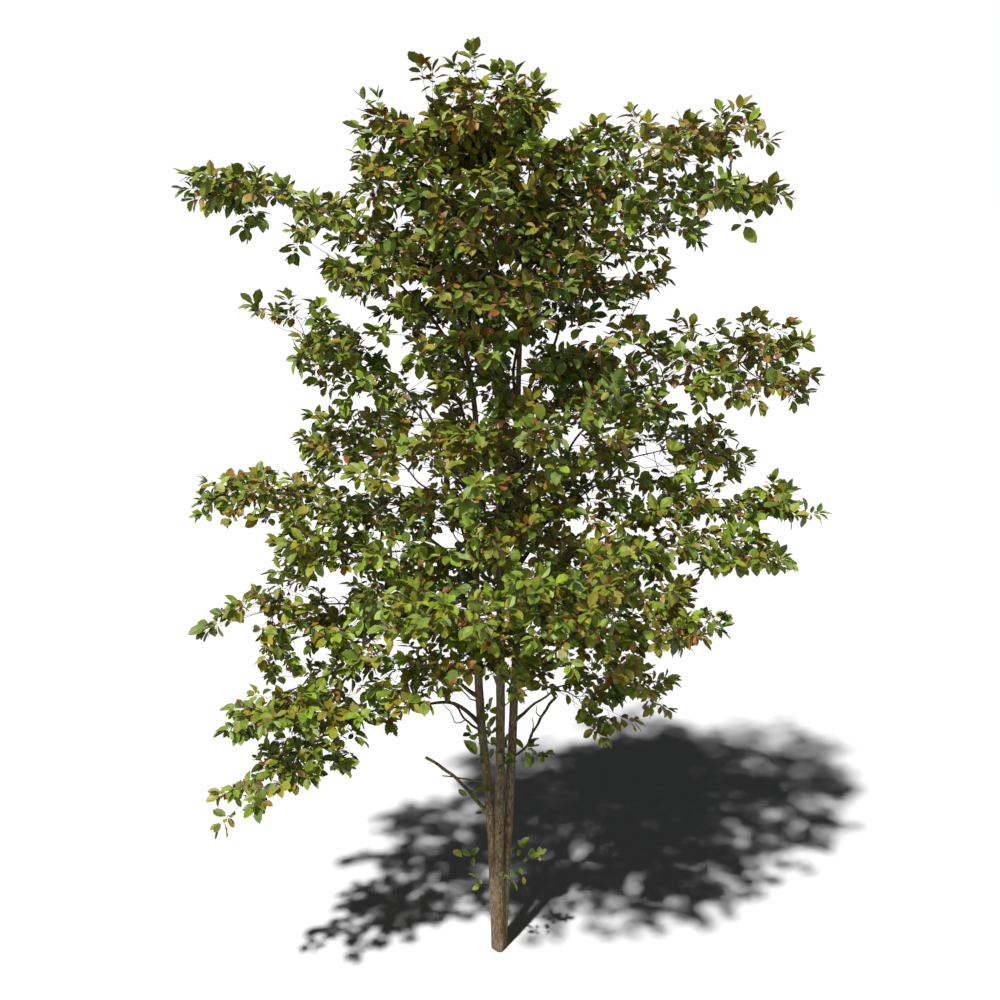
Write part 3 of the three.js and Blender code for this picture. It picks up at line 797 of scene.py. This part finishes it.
# A rosette of leaves on a short stalk: crossed pairs, the small ones inside, and a tuft at the tip.
def cluster(root, along, face, stalk, rng, tint, pairs=CLUSTER.pairs, tuft=TUFT.leaves, big=1.0):
    side = unit(np.cross(face, along))
    face = np.cross(along, side)
    whole = stalk + pairs * LEAF.pitch * big
    if in_opening(root + along * whole):
        return False
    bow = unit(UP * CLUSTER.bow_up + side * either_way(rng, 1)) * whole * either_way(rng, CLUSTER.bow)

    def line(s):
        return root + along * whole * s + bow * 4 * s * (1 - s)

    def out_at(turn):
        return side * cos(turn) + face * sin(turn)

    radii = [CLUSTER.radius * share for share in CLUSTER.taper]
    twigs.add(*tube([line(s) for s in (0, 0.5, 1)], radii, FINEST_SIDES))
    first = rng.uniform(0, pi)
    main = pick_colour(rng, tint, False)
    for j in range(pairs):
        share = (stalk + (j + 0.5) * LEAF.pitch * big) / whole
        out = out_at(first + j * pi / 2 + either_way(rng, CLUSTER.turn))
        opened = lerp(*CLUSTER.open, j / max(pairs - 1, 1)) + either_way(rng, CLUSTER.open_vary)
        angle = radians(opened)
        for hand in (1, -1):
            if rng.random() < LEAF.skipped:
                continue
            leaf = unit(along * cos(angle) + out * hand * sin(angle)
                        + rng.normal(0, CLUSTER.wander, 3) - UP * CLUSTER.droop)
            inner = rng.random() < CLUSTER.inner[0 if j < pairs / 2 else 1]
            add_leaf(line(share), leaf, along, rng, tint, inner, big, main)
    for k in range(tuft):
        out = out_at(first + k * 2 * pi / TUFT.leaves + either_way(rng, TUFT.turn))
        leaf = unit(along + out * rng.uniform(*TUFT.open) - UP * TUFT.droop)
        add_leaf(line(1.0), leaf, along, rng, tint, rng.random() < TUFT.inner, big, main)
    return True


# Tints of a cluster: how many in a hundred of its outer and of its inner leaves have each colour.
TINTS = {
    "green": ([19, 43, 20, 12, 5, 1, 0, 0], [11, 20, 5, 26, 6, 19, 6, 7]),
    "olive": ([12, 34, 14, 28, 9, 2, 0, 1], [5, 11, 2, 24, 6, 29, 13, 10]),
    "rust": ([7, 26, 8, 37, 10, 8, 1, 3], [2, 4, 0, 14, 3, 35, 26, 16]),
    # The dark tint is painted shade for the crown's core: deep greens and browns.
    "dark": ([42, 20, 0, 20, 1, 5, 2, 10], [14, 5, 0, 13, 0, 12, 24, 32]),
    # The sprigs' tint: greens without turned leaves, weighted to deep green as painted shade.
    "young_in_painted_shade": ([40, 42, 10, 5, 3, 0, 0, 0], [45, 37, 6, 8, 4, 0, 0, 0]),
}
TINT_SUMS = {name: [np.cumsum(part) / sum(part) for part in parts] for name, parts in TINTS.items()}
SPRAY_TINTS = ["green", "olive", "rust"]
# Patches of tint: noise scale, how much the crown turns inside some depth, its scatter, and the
# least turn for the two turned tints.
PATCH = Values(scale=1.7, inside=0.32, depth=0.85, scatter=0.16, olive=0.03, rust=0.27)
# The crown's core, whose sprays take the dark tint as painted shade: an upright ellipsoid with a loose edge.
PAINTED_SHADE_CORE = Values(middle=(0.13, -0.1, 4.12), half=(0.5, 1.05, 0.62), edge=(0.8, 1.2))


def pick_colour(rng, tint, inner):
    return int(np.searchsorted(TINT_SUMS[tint][1 if inner else 0], rng.random()))


# The tint of a spray: in patches, more turned inside the crown than at its edge, and the dark tint in its
# core as painted shade.
def tint_at(place, rng):
    far = norm((place - PAINTED_SHADE_CORE.middle) / PAINTED_SHADE_CORE.half)
    if far < rng.uniform(*PAINTED_SHADE_CORE.edge):
        return "dark"
    turned = noise.noise(Vector(place * PATCH.scale)) + rng.normal(0, PATCH.scatter)
    turned += PATCH.inside * max(0.0, 1 - hypot(place[0], place[1]) / PATCH.depth)
    if turned > PATCH.rust:
        return "rust"
    return "olive" if turned > PATCH.olive else "green"


# A spray: an axis with clusters to both sides and one at its tip, in the outline of the solid's blade.
def spray(root, along, face, length, width, rng):
    side = unit(np.cross(face, along))
    face = np.cross(along, side)
    axis = length - CLUSTER.reach - CLUSTER.pairs * LEAF.pitch
    sag = UP * -AXIS.sag * axis

    def line(s):
        return root + along * axis * s + sag * s * s

    if in_opening(line(AXIS.middle)) and in_opening(line(1)):
        return False
    tint = tint_at(root, rng)
    reached = 0
    stalk = max(width / 2 - CLUSTER.reach - 0.5 * CLUSTER.pairs * LEAF.pitch, AXIS.least_stalk)
    hand = 1 if rng.random() < 0.5 else -1
    for share in AXIS.clusters:
        out = unit(along * rng.uniform(*AXIS.ahead) + side * hand + face * either_way(rng, AXIS.rise))
        # Sprays of the painted-shade dark tint keep it in all their clusters.
        keeps = rng.random() < AXIS.same_tint or tint == "dark"
        own_tint = tint if keeps else SPRAY_TINTS[int(rng.integers(len(SPRAY_TINTS)))]
        place = share + either_way(rng, AXIS.place_vary)
        own_face = unit(face + rng.normal(0, AXIS.face_wander, 3))
        if cluster(line(place), out, own_face, stalk, rng, own_tint, CLUSTER.side_pairs):
            reached = place
        hand = -hand
    ahead = unit(along + rng.normal(0, AXIS.tip_wander, 3))
    if cluster(line(1), ahead, face, AXIS.tip_stalk, rng, tint):
        reached = 1
    if reached > 0:
        radii = np.array(AXIS.taper) * AXIS.radius
        twigs.add(*tube([line(s * reached) for s in AXIS.shares], radii, FINEST_SIDES))
    return reached > 0


# The sprays on a twig, and the twig itself with a slight bow as far as they reach, or none where it
# has no radii. A spray is its share of the way, direction, face, length and width.
def grow_twig(start, stop, sprays, rng, bow, radii):
    reached = 0
    for share, *form in sprays:
        if spray(lerp(start, stop, share), *form, rng):
            reached = max(reached, share)
    if reached > 0 and len(radii) > 0:
        way = np.linspace(0, reached, len(radii))
        points = [lerp(start, stop, s) + bow * sin(pi * s) for s in way]
        twigs.add(*tube(points, radii, TWIG.sides))


# The sprays of a sprig, each with the first nudge up or down that keeps it in its mass's space.
def sprays_of(g, t, sprig):
    index, size = g.index, g.size
    along = sprig.along
    across = unit(np.cross(UP, along))
    for k, (share, turn, scale) in enumerate(sprig.places):
        def draw(choice):
            return chance(index, t, choice + k)
        roll = (1 if k % 2 == t % 2 else -1) * (GROW.roll + GROW.roll_more * draw(30)) * FLATTEN
        face = unit(UP + across * roll + along * GROW.pitch * (draw(40) - 0.5))
        big = size * scale * (1 + GROW.vary * (draw(50) - 0.5))
        root = lerp(sprig.start, sprig.stop, share)
        for nudge in NUDGES:
            out = unit(along + across * turn * (1 + GROW.turn * (draw(10) - 0.5))
                       + UP * (GROW.rise * (draw(20) - GROW.sag) + nudge))
            if owns(index, root + out * SPRAY.length * MM * big * 0.5):
                yield share, out, face, SPRAY.length * MM * big, SPRAY.width * MM * big
                break

SIDE_TWIG = Values(bow=0.025, choice=70, slim=0.8)


# A sprig of the rule, moved onto its crooked limb: its sprays, and its side twig where it has one.
def grow_sprig(g, t, sprig):
    shift = on_line(g, sprig.start) - sprig.start
    sprig.start = sprig.start + shift
    sprig.stop = sprig.stop + shift
    bow = UP * SIDE_TWIG.bow * chance(g.index, t, SIDE_TWIG.choice)
    radii = np.linspace(TWIG.side, TWIG.side_tip, TWIG.points) * MM * SIDE_TWIG.slim
    sprays = sprays_of(g, t, sprig)
    grow_twig(sprig.start, sprig.stop, sprays, draws(g.index, t), bow, radii if sprig.is_twig else [])


for g in grown:
    if not g.branch.shoot:
        for t, sprig in enumerate(g.sprigs):
            grow_sprig(g, t, sprig)

# A short twig with three sprays: their size, and the share and turn of each.
SHORT = Values(
    length=0.36, width=0.26, places=[(1.0, 0.0), (0.72, 0.9), (0.5, -0.9)], bow=0.03,
    rise=0.4, roll=0.7, pitch=0.5, radii=(4.2, 2.0),
)


def short_twig(start, out, reach, rng, places=SHORT.places, size=1.0):
    stop = start + out * reach
    if in_opening(stop) and in_opening(lerp(start, stop, 0.5)):
        return
    across = unit(np.cross(UP, out))

    def sprays():
        for share, turn in places:
            along = unit(out + across * turn + UP * either_way(rng, SHORT.rise))
            face = unit(UP + across * either_way(rng, SHORT.roll) + out * either_way(rng, SHORT.pitch))
            yield share, along, face, SHORT.length * size, SHORT.width * size

    bow = UP * SHORT.bow * either_way(rng, 1)
    grow_twig(start, stop, sprays(), rng, bow, np.linspace(*SHORT.radii, TWIG.points) * MM)


# Short twigs close to the stems inside the crown: first height, how much higher each stem begins,
# and spacing in millimetres, the turn from stem to stem, and the twigs' reach and rise.
INNER = Values(low=1980, higher=40, spacing=88, turn=2.1, reach=0.22, more=0.36, lift=0.35, rise=(-0.2, 1.6))
for order, (name, stations) in enumerate(STEMS.items()):
    first = INNER.low + INNER.higher * order
    for t, height in enumerate(np.arange(first, stations[-1][2], INNER.spacing)):
        rng = draws(SEED.inner + order, t)
        angle = GOLDEN_ANGLE * t + order * INNER.turn
        rise = INNER.lift * rng.uniform(*INNER.rise)
        out = unit(np.array([cos(angle), sin(angle), rise]))
        short_twig(stem_at(name, height)[0], out, INNER.reach + INNER.more * rng.random(), rng)

# More short twigs along some branches: how many, and the shares of the branch between which they stand.
MORE_TWIGS = {
    "top_leader": (9, 0.1, 0.93), "top_right": (10, 0.1, 0.96), "top_left": (5, 0.15, 0.9),
    "front_crown": (3, 0.3, 0.85), "back_crown": (4, 0.3, 0.85), "right_crown": (4, 0.14, 0.5),
    "front_right": (4, 0.3, 0.9), "right_low": (3, 0.35, 0.8), "left_droop_high": (3, 0.4, 0.9),
}
MORE = Values(ahead=0.5, reach=(0.08, 0.22))
for order, (name, (count, low, high)) in enumerate(MORE_TWIGS.items()):
    g = by_name[name]
    for t in range(count):
        rng = draws(SEED.more + order, t)
        share = lerp(low, high, (t + 0.5) / count)
        ahead = g.whole.heading(g.whole.parameter(share))
        side = level_across(ahead, t)
        angle = GOLDEN_ANGLE * t + order
        out = side * cos(angle) + np.cross(ahead, side) * sin(angle) + ahead * MORE.ahead
        start = on_line(g, g.whole.along(share))
        short_twig(start, unit(out), rng.uniform(*MORE.reach), rng)

# Twigs that fill a mass out to where it reaches in the picture: branch and the spots, in pixels,
# that they grow towards.
AIMED = [
    ["top_right", (518, 74), (500, 74), (536, 94), (552, 104)], ["top_left", (432, 72)],
    ["top_leader", (452, 66)], ["top_left", (416, 92)],
    ["right_crown", (600, 124), (640, 128), (606, 146)], ["right_wing", (672, 176), (700, 168)],
    ["right_crown", (740, 118)],
    ["right_upper", (650, 332), (672, 322), (744, 326), (778, 338), (808, 376), (730, 392)],
    ["right_upper", (776, 392), (700, 384), (640, 400)],
    ["right_back", (720, 430), (660, 400), (740, 462), (690, 440), (662, 488)],
    ["right_long", (770, 490), (800, 510)], ["right_back", (645, 446), (610, 440)],
    ["right_nape", (632, 298), (660, 268)], ["right_middle", (782, 552), (710, 566), (652, 572)],
    ["right_low", (716, 618)], ["right_skirt", (662, 688)], ["right_hang", (596, 722)],
    ["front_right", (545, 655), (530, 672)], ["left_crown", (308, 232)],
    ["left_upper", (272, 314), (312, 310)], ["left_wand", (284, 300)],
    ["left_back", (322, 408), (350, 412), (376, 408), (312, 448)],
    ["left_long", (210, 480), (206, 508), (262, 480)],
    ["left_low", (280, 640), (312, 636), (340, 632), (264, 656), (292, 664)],
    ["left_droop_high", (234, 726), (370, 634)], ["left_front_low", (410, 642), (380, 700)],
    ["left_droop", (228, 802), (300, 766), (316, 745), (340, 756)],
    ["left_crown", (240, 222), (396, 160), (372, 158)], ["left_shoulder", (364, 146)],
    ["right_middle", (786, 560)], ["right_low", (676, 582), (690, 590)], ["right_upper", (774, 336)],
    ["left_back", (304, 428), (300, 462)], ["left_middle", (282, 510), (330, 556)],
    ["left_crown", (196, 196)], ["right_wing", (782, 204)], ["right_upper", (752, 400), (800, 400)],
    ["left_low", (366, 588)], ["left_middle", (362, 574), (334, 530)], ["left_low", (274, 664)],
    ["right_upper", (786, 322), (762, 322), (806, 350)], ["left_middle", (280, 576)],
    ["right_skirt", (668, 702)], ["right_back", (744, 468)],
]
AIM = Values(depth=0.12, ahead=0.2, least=0.04, far=0.42, size=0.78, near=[(1.0, 0.0)])


# The point of a branch's line that shows nearest to a spot in the picture.
def nearest_seen(name, x, y):
    line = by_name[name].line
    seen = np.array([picture_place(p) for p in line])
    return line[np.argmin(norm(seen - (x, y), axis=1))]


aims = [(name, *spot) for name, *spots in AIMED for spot in spots]
for order, (name, x, y) in enumerate(aims):
    rng = draws(SEED.aimed, order)
    start = nearest_seen(name, x, y)
    target = from_picture(x, y, start[1] + either_way(rng, AIM.depth))
    reach = norm(target - start)
    places = AIM.near if reach < AIM.far else SHORT.places[:2]
    length = max(reach - AIM.ahead, AIM.least)
    short_twig(start, unit(target - start), length, rng, places, AIM.size)

# Leafy sprigs on the bare stems and under some branches: stem or branch, height of the root on a
# stem in millimetres, spot of the tip in the picture, pairs of leaves, leaves at the tip, and size.
SPRIGS = [
    ["left", 600, 463, 858, 0, 1, 0.8], ["left", 604, 474, 857, 1, 1, 0.7],
    ["left", 455, 479, 879, 1, 1, 0.45], ["left", 450, 480, 886, 0, 2, 0.42],
    ["centre", 455, 502, 879, 0, 2, 0.75], ["centre", 450, 510, 879, 1, 1, 0.6],
    ["centre", 448, 522, 876, 1, 1, 0.6], ["right", 610, 511, 854, 0, 1, 0.6],
    ["right", 596, 520, 849, 1, 2, 0.65], ["right", 590, 526, 858, 1, 1, 0.7],
    ["right", 586, 538, 856, 1, 1, 0.6], ["left", 1600, 474, 700, 1, 2, 0.6],
    ["left", 1590, 488, 703, 1, 2, 0.75], ["left", 1540, 487, 713, 2, 2, 0.7],
    ["left", 1560, 479, 706, 1, 2, 0.5], ["left", 1440, 474, 735, 2, 1, 0.5],
    ["left", 1400, 476, 742, 1, 1, 0.55], ["left", 1300, 478, 756, 0, 1, 1.0],
    ["left", 1290, 482, 758, 1, 2, 0.5], ["left", 1430, 488, 731, 1, 2, 0.7],
    ["centre", 1400, 492, 738, 2, 2, 0.8], ["centre", 1340, 494, 748, 1, 2, 0.75],
    ["right", 1330, 508, 750, 1, 2, 0.8], ["right", 1310, 510, 757, 0, 2, 0.9],
    ["right", 1330, 524, 750, 2, 2, 0.85], ["right", 1300, 532, 756, 1, 2, 0.8],
    ["right", 1290, 541, 756, 1, 2, 0.75], ["right", 1200, 508, 768, 0, 2, 0.8],
    ["centre", 1240, 504, 764, 1, 1, 0.6], ["left", 1010, 468, 797, 0, 1, 0.95],
    ["left", 1060, 477, 793, 1, 2, 0.65], ["left", 1080, 488, 790, 2, 2, 0.55],
    ["left", 950, 483, 813, 0, 2, 0.5], ["right_wing", 0, 742, 222, 1, 2, 0.8],
    ["left_crown", 0, 298, 244, 3, 3, 0.75], ["left_wand", 0, 262, 314, 2, 3, 0.6],
    ["left_long", 0, 208, 512, 2, 3, 0.6], ["left_shoulder", 0, 380, 104, 2, 3, 0.6],
    ["left_shoulder", 0, 366, 104, 1, 2, 0.6], ["right_long", 0, 804, 511, 5, 3, 0.68],
    ["left_low", 0, 219, 624, 3, 3, 0.9], ["left_low", 0, 240, 612, 2, 2, 0.8],
    ["top_leader", 0, 470, 56, 1, 2, 0.7], ["left_droop", 0, 350, 752, 1, 2, 0.6],
]
SPRIG = Values(nearer=(0.03, 0.10), face_wander=0.3, size=1.45)
for order, (name, height, x, y, pairs, tuft, big) in enumerate(SPRIGS):
    rng = draws(SEED.sprig, order)
    root = stem_at(name, height)[0] if name in STEMS else nearest_seen(name, x, y)
    tip = from_picture(x, y, root[1] - rng.uniform(*SPRIG.nearer))
    reach = norm(tip - root)
    face = UP + rng.normal(0, SPRIG.face_wander, 3)
    # The sprigs' leaves take the young tint, whose extra deep green is painted shade.
    cluster(root, unit(tip - root), face, reach, rng, "young_in_painted_shade", pairs, tuft, big * SPRIG.size)

twig_piece = twigs.piece("twigs", twig_bark)

# Points of a leaf: share of its length, and half width with its side, both in lengths.
LEAF_SHARE = np.array([0, 0, 0.10, 0.30, 0.30, 0.30, 0.57, 0.57, 0.57, 0.82, 0.82, 0.82, 1.0])
LEAF_SIDE = np.array([-0.012, 0.012, 0, -0.205, 0, 0.205, -0.29, 0, 0.29, -0.2, 0, 0.2, 0])
LEAF_FACES = np.array([
    [0, 1, 2], [2, 3, 4], [2, 4, 5],
    [3, 6, 7], [3, 7, 4], [4, 7, 8], [4, 8, 5],
    [6, 9, 10], [6, 10, 7], [7, 10, 11], [7, 11, 8],
    [9, 12, 10], [10, 12, 11],
])
MIDRIB = [2, 4, 7, 10, 12]
LEAF_FORM = Values(fold=(4, 34), bend=(-0.04, 0.30), wide=(0.86, 1.14), twist=0.22, ripple=0.022)


# All leaves of one colour as one joined mesh, each with a sharp midrib and a shape of its own.
def leaf_piece(name, group, material, rng):
    root, along, face, length, _ = (np.array(column) for column in zip(*group))
    length = length[:, None]
    side = np.cross(face, along)
    side /= norm(side, axis=1, keepdims=True)
    face = np.cross(along, side)
    n = len(group)
    fold = np.radians(rng.uniform(*LEAF_FORM.fold, (n, 1)))
    bend = rng.uniform(*LEAF_FORM.bend, (n, 1))
    wide = rng.uniform(*LEAF_FORM.wide, (n, 1))
    twist = rng.normal(0, LEAF_FORM.twist, (n, 1)) * LEAF_SHARE[None]
    ripple = rng.normal(0, LEAF_FORM.ripple, (n, len(LEAF_SHARE))) * (LEAF_SIDE != 0)
    s = LEAF_SHARE[None]
    v = LEAF_SIDE[None] * wide
    across = v * np.cos(fold)
    rise = np.abs(v) * np.sin(fold) - bend * s * s + ripple + v * twist
    verts = (root[:, None] + along[:, None] * (s * length)[..., None]
             + side[:, None] * (across * length)[..., None] + face[:, None] * (rise * length)[..., None])
    faces = (LEAF_FACES[None] + np.arange(n)[:, None, None] * len(LEAF_SHARE)).reshape(-1, 3)
    piece = make_piece(name, verts.reshape(-1, 3), faces, material)
    mesh = piece.data
    ends = np.empty(len(mesh.edges) * 2, np.int32)
    mesh.edges.foreach_get("vertices", ends)
    ribbed = np.isin(ends.reshape(-1, 2) % len(LEAF_SHARE), MIDRIB).all(1)
    sharp = mesh.attributes.get("sharp_edge") or mesh.attributes.new("sharp_edge", "BOOLEAN", "EDGE")
    sharp.data.foreach_set("value", ribbed)
    return piece


# Leaves whose middle would stand inside a stem are left out.
STEM_MARGIN = 0.012


def clear_of_stems(place):
    height = place[2] / MM
    found = [stem_at(name, height) for name in STEMS if 0 <= height <= STEMS[name][-1][2]]
    return all(norm(centre[:2] - place[:2]) >= radius + STEM_MARGIN for centre, radius in found)


leaves = [leaf for leaf in leaves if clear_of_stems(leaf[0] + leaf[1] * leaf[3] * 0.5)]
foliage_nodes = [n for n in frame["nodes"] if n.startswith(("foliage_", "shoot_"))]
for colour, (name, *tones) in enumerate(LEAF_COLOURS):
    group = [leaf for leaf in leaves if leaf[-1] == colour]
    material = leaf_material(f"leaf_{name}", *tones)
    piece = leaf_piece(f"leaves_{name}", group, material, draws(SEED.leaf + colour))
    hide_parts(*foliage_nodes)

# Floor, light and camera.
FLOOR = Values(tone=(0.62, 0.631, 0.676), half=60)
floor_mesh = bpy.data.meshes.new("floor")
corners = [(x * FLOOR.half, y * FLOOR.half, 0) for x, y in ((-1, -1), (1, -1), (1, 1), (-1, 1))]
floor_mesh.from_pydata(corners, [], [(0, 1, 2, 3)])
floor = add_to_scene(bpy.data.objects.new("floor", floor_mesh))
floor_material, floor_shader = new_material("floor", roughness=1.0, specular=0.0)
floor_shader.inputs["Base Color"].default_value = (*FLOOR.tone, 1)
floor_mesh.materials.append(floor_material)
floor.visible_diffuse = False


def add_sun(name, heading, strength, softness, color):
    light = bpy.data.lights.new(name, "SUN")
    light.energy = strength
    light.angle = radians(softness)
    light.color = color
    sun = add_to_scene(bpy.data.objects.new(name, light))
    sun.rotation_euler = Vector(heading).to_track_quat("-Z", "Y").to_euler()
    return sun


SUN = {"heading": (0.28, 0.51, -1.0), "strength": 6.08, "softness": 2.3, "color": (1.0, 0.97, 0.91)}
add_sun("sun", **SUN)

# Soft fill from above, from all round and from below, for the tree alone.
FILL = {"strength": 1.24, "softness": 75, "color": (1.0, 0.985, 0.76)}
FILL_HEADINGS = [(0, 0, -1), (0.1, 1, -0.35), (-0.9, -0.5, -0.35), (0.9, -0.5, -0.35), (0.3, 0.8, 0.3)]
plant = bpy.data.collections.new("plant")
for piece in bpy.context.scene.objects:
    if piece.type == "MESH" and piece is not floor:
        plant.objects.link(piece)
for order, heading in enumerate(FILL_HEADINGS):
    fill = add_sun(f"fill_{order}", heading, **FILL)
    fill.light_linking.receiver_collection = plant

# A white backdrop for the camera, and a faint even light on everything else.
AMBIENT = 0.038
world = bpy.data.worlds.new("studio")
bpy.context.scene.world = world
world.use_nodes = True
tree = world.node_tree
tree.nodes.clear()
path = add_node(tree, "LightPath")
soft = add_node(tree, "Background", Color=WHITE, Strength=AMBIENT)
backdrop = add_node(tree, "Background", Color=WHITE)
mix = add_node(tree, "MixShader")
output = add_node(tree, "OutputWorld")
tree.links.new(path.outputs["Is Camera Ray"], mix.inputs[0])
tree.links.new(soft.outputs[0], mix.inputs[1])
tree.links.new(backdrop.outputs[0], mix.inputs[2])
tree.links.new(mix.outputs[0], output.inputs["Surface"])

camera = bpy.data.cameras.new("camera")
camera.lens = CAMERA.lens
camera.sensor_width = CAMERA.sensor
eye = add_to_scene(bpy.data.objects.new("camera", camera))
eye.location = CAMERA.place
eye.rotation_euler = (radians(CAMERA.pitch), 0, 0)
bpy.context.scene.camera = eye
bpy.context.scene.view_settings.view_transform = "Standard"
